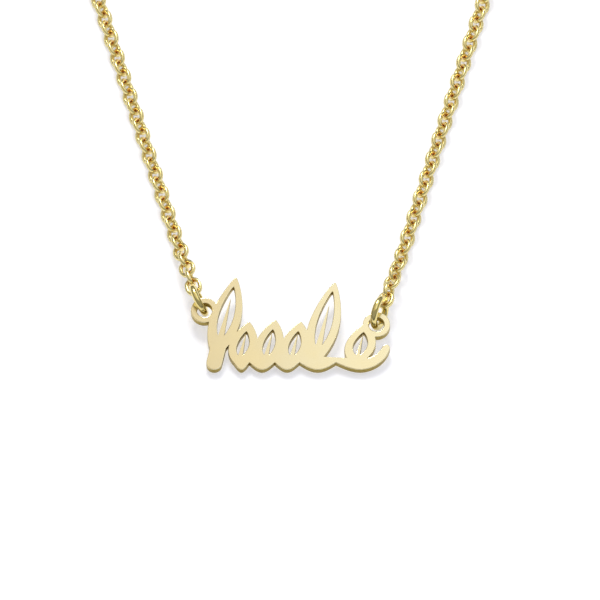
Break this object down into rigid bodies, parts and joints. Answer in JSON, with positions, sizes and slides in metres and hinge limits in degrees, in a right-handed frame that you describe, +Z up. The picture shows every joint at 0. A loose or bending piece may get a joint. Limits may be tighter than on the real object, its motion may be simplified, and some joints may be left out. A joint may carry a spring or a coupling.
{
  "type": "necklace",
  "caption": "Gold nameplate necklace: a pierced leaf-spray plate held by jump rings to a cable chain that closes with a spring ring clasp, laid out as a whole loop.",
  "frame": {"origin": "Middle of the footprint, on the surface that the necklace lies on", "axes": "+X from the left jump ring to the right one, +Y from the plate to the clasp, +Z up"},
  "size_m": [0.088, 0.1741, 0.0049],
  "materials": {
    "plate_gold": "satin",
    "wire_gold": "polished",
    "chain_gold": "polished"
  },
  "bodies": {
    "root": {"nameplate": "plate_gold", "jump_ring_left": "wire_gold", "jump_ring_right": "wire_gold", "chain_left": "chain_gold", "chain_right": "chain_gold", "clasp": "wire_gold"}
  },
  "joints": []
}
